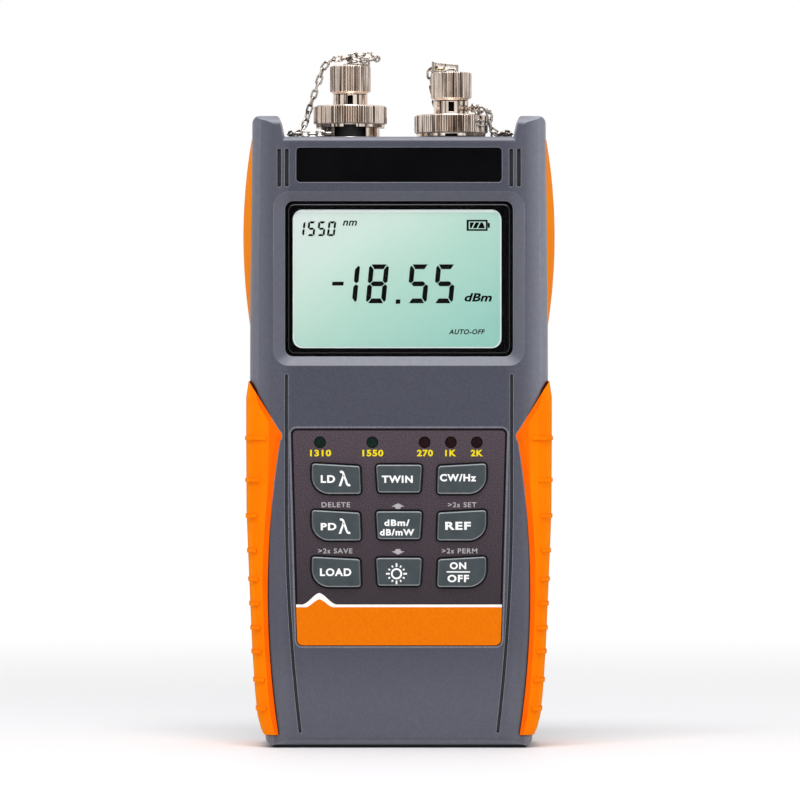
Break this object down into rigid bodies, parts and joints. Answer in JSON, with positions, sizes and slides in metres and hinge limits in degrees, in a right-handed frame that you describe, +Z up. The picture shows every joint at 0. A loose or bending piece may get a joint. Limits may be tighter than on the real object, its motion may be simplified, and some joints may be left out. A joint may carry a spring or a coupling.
{
  "type": "optical power meter",
  "caption": "Handheld optical power meter with a liquid crystal display, keypad, soft side grips and screw-capped fibre ports on chains.",
  "frame": {"origin": "centre of the base the meter stands on, midway between front keys and back grips", "axes": "+X to the right facing the display, +Y from the front face to the back, +Z up towards the fibre ports"},
  "size_m": [0.0824, 0.033, 0.1835],
  "materials": {
    "case_plastic": "fine matte",
    "grip_rubber": "soft satin",
    "plate_black": "gloss",
    "window_clear": "clear gloss",
    "lcd_green": "satin",
    "connector_rubber": "matte",
    "overlay_film": "fine matte film",
    "key_rubber": "satin",
    "gold_plate": "polished",
    "board_laminate": "satin",
    "chip_black": "matte",
    "tin_plate": "satin",
    "screw_steel": "satin",
    "lamp_green": "gloss",
    "lamp_red": "gloss",
    "cell_jacket": "satin",
    "gold_can": "satin",
    "nickel_brass": "bright nickel plate over brass",
    "nickel_steel": "bright nickel plate over steel"
  },
  "bodies": {
    "case": {"amplifier_shield": "tin_plate", "battery_left": "cell_jacket", "battery_middle": "cell_jacket", "battery_right": "cell_jacket", "board_chips": "chip_black", "board_screws": "screw_steel", "case_screws": "screw_steel", "detector": "gold_can", "display_mask": "plate_black", "display_window": "window_clear", "front_shell": "case_plastic", "key_contacts": "gold_plate", "keypad_mat": "key_rubber", "keypad_overlay": "overlay_film", "laser_module": "gold_can", "lcd_connector": "connector_rubber", "lcd_glass": "lcd_green", "led_1310": "lamp_green", "led_1550": "lamp_green", "led_1k": "lamp_red", "led_270": "lamp_red", "led_2k": "lamp_red", "left_adapter": "nickel_brass", "left_chain": "nickel_steel", "left_grip": "grip_rubber", "left_port_base": "nickel_brass", "left_port_core": "chip_black", "left_port_nut": "nickel_brass", "light_guide": "lcd_green", "lower_contacts": "tin_plate", "main_board": "board_laminate", "name_plate": "plate_black", "rear_shell": "case_plastic", "right_adapter": "nickel_brass", "right_chain": "nickel_steel", "right_grip": "grip_rubber", "right_port_base": "nickel_brass", "right_port_core": "chip_black", "right_port_nut": "nickel_brass", "upper_contacts": "tin_plate"},
    "key_backlight": {"key_backlight": "key_rubber"},
    "key_load": {"key_load": "key_rubber"},
    "key_meter_wavelength": {"key_meter_wavelength": "key_rubber"},
    "key_modulation": {"key_modulation": "key_rubber"},
    "key_power": {"key_power": "key_rubber"},
    "key_reference": {"key_reference": "key_rubber"},
    "key_source_wavelength": {"key_source_wavelength": "key_rubber"},
    "key_twin": {"key_twin": "key_rubber"},
    "key_unit": {"key_unit": "key_rubber"},
    "battery_door": {"battery_door": "case_plastic"},
    "left_slip_washer": {"left_slip_washer": "tin_plate"},
    "left_coupling_ring": {"left_coupling_ring": "nickel_brass"},
    "left_dust_cap": {"left_dust_cap": "nickel_brass"},
    "left_cap_swivel": {"left_cap_swivel": "nickel_steel"},
    "right_slip_washer": {"right_slip_washer": "tin_plate"},
    "right_coupling_ring": {"right_coupling_ring": "nickel_brass"},
    "right_dust_cap": {"right_dust_cap": "nickel_brass"},
    "right_cap_swivel": {"right_cap_swivel": "nickel_steel"}
  },
  "joints": [
    {"name": "key_backlight_press", "type": "slide", "parent": "case", "child": "key_backlight", "axis": [0, 1, 0], "range_m": [0, 0.0008], "stiffness_N_per_m": 900},
    {"name": "key_load_press", "type": "slide", "parent": "case", "child": "key_load", "axis": [0, 1, 0], "range_m": [0, 0.0008], "stiffness_N_per_m": 900},
    {"name": "key_meter_wavelength_press", "type": "slide", "parent": "case", "child": "key_meter_wavelength", "axis": [0, 1, 0], "range_m": [0, 0.0008], "stiffness_N_per_m": 900},
    {"name": "key_modulation_press", "type": "slide", "parent": "case", "child": "key_modulation", "axis": [0, 1, 0], "range_m": [0, 0.0008], "stiffness_N_per_m": 900},
    {"name": "key_power_press", "type": "slide", "parent": "case", "child": "key_power", "axis": [0, 1, 0], "range_m": [0, 0.0008], "stiffness_N_per_m": 900},
    {"name": "key_reference_press", "type": "slide", "parent": "case", "child": "key_reference", "axis": [0, 1, 0], "range_m": [0, 0.0008], "stiffness_N_per_m": 900},
    {"name": "key_source_wavelength_press", "type": "slide", "parent": "case", "child": "key_source_wavelength", "axis": [0, 1, 0], "range_m": [0, 0.0008], "stiffness_N_per_m": 900},
    {"name": "key_twin_press", "type": "slide", "parent": "case", "child": "key_twin", "axis": [0, 1, 0], "range_m": [0, 0.0008], "stiffness_N_per_m": 900},
    {"name": "key_unit_press", "type": "slide", "parent": "case", "child": "key_unit", "axis": [0, 1, 0], "range_m": [0, 0.0008], "stiffness_N_per_m": 900},
    {"name": "battery_door_hinge", "type": "hinge", "parent": "case", "child": "battery_door", "pos_m": [0, 0.015, 0.0099], "axis": [-1, 0, 0], "range_deg": [0, 90]},
    {"name": "left_ring_turn", "type": "hinge", "parent": "left_slip_washer", "child": "left_coupling_ring", "pos_m": [-0.0129, 0, 0.1632], "axis": [0, 0, 1], "range_deg": [0, 360]},
    {"name": "left_ring_rise", "type": "slide", "parent": "case", "child": "left_slip_washer", "axis": [0, 0, 1], "range_m": [0, 0.00075]},
    {"name": "left_cap_turn", "type": "hinge", "parent": "left_cap_swivel", "child": "left_dust_cap", "pos_m": [-0.0129, 0, 0.1721], "axis": [0, 0, 1], "range_deg": [0, 2160]},
    {"name": "left_cap_rise", "type": "slide", "parent": "case", "child": "left_cap_swivel", "axis": [0, 0, 1], "range_m": [0, 0.0045], "deforming": ["left_chain"]},
    {"name": "right_ring_turn", "type": "hinge", "parent": "right_slip_washer", "child": "right_coupling_ring", "pos_m": [0.0138, 0, 0.1608], "axis": [0, 0, 1], "range_deg": [0, 360]},
    {"name": "right_ring_rise", "type": "slide", "parent": "case", "child": "right_slip_washer", "axis": [0, 0, 1], "range_m": [0, 0.00075]},
    {"name": "right_cap_turn", "type": "hinge", "parent": "right_cap_swivel", "child": "right_dust_cap", "pos_m": [0.0138, 0, 0.1704], "axis": [0, 0, 1], "range_deg": [0, 2160]},
    {"name": "right_cap_rise", "type": "slide", "parent": "case", "child": "right_cap_swivel", "axis": [0, 0, 1], "range_m": [0, 0.0045], "deforming": ["right_chain"]}
  ],
  "couplings": [
    {"joint": "left_ring_rise", "follows": "left_ring_turn", "m_per_rad": 0.00011936},
    {"joint": "left_cap_rise", "follows": "left_cap_turn", "m_per_rad": 0.00011936},
    {"joint": "right_ring_rise", "follows": "right_ring_turn", "m_per_rad": 0.00011936},
    {"joint": "right_cap_rise", "follows": "right_cap_turn", "m_per_rad": 0.00011936}
  ]
}
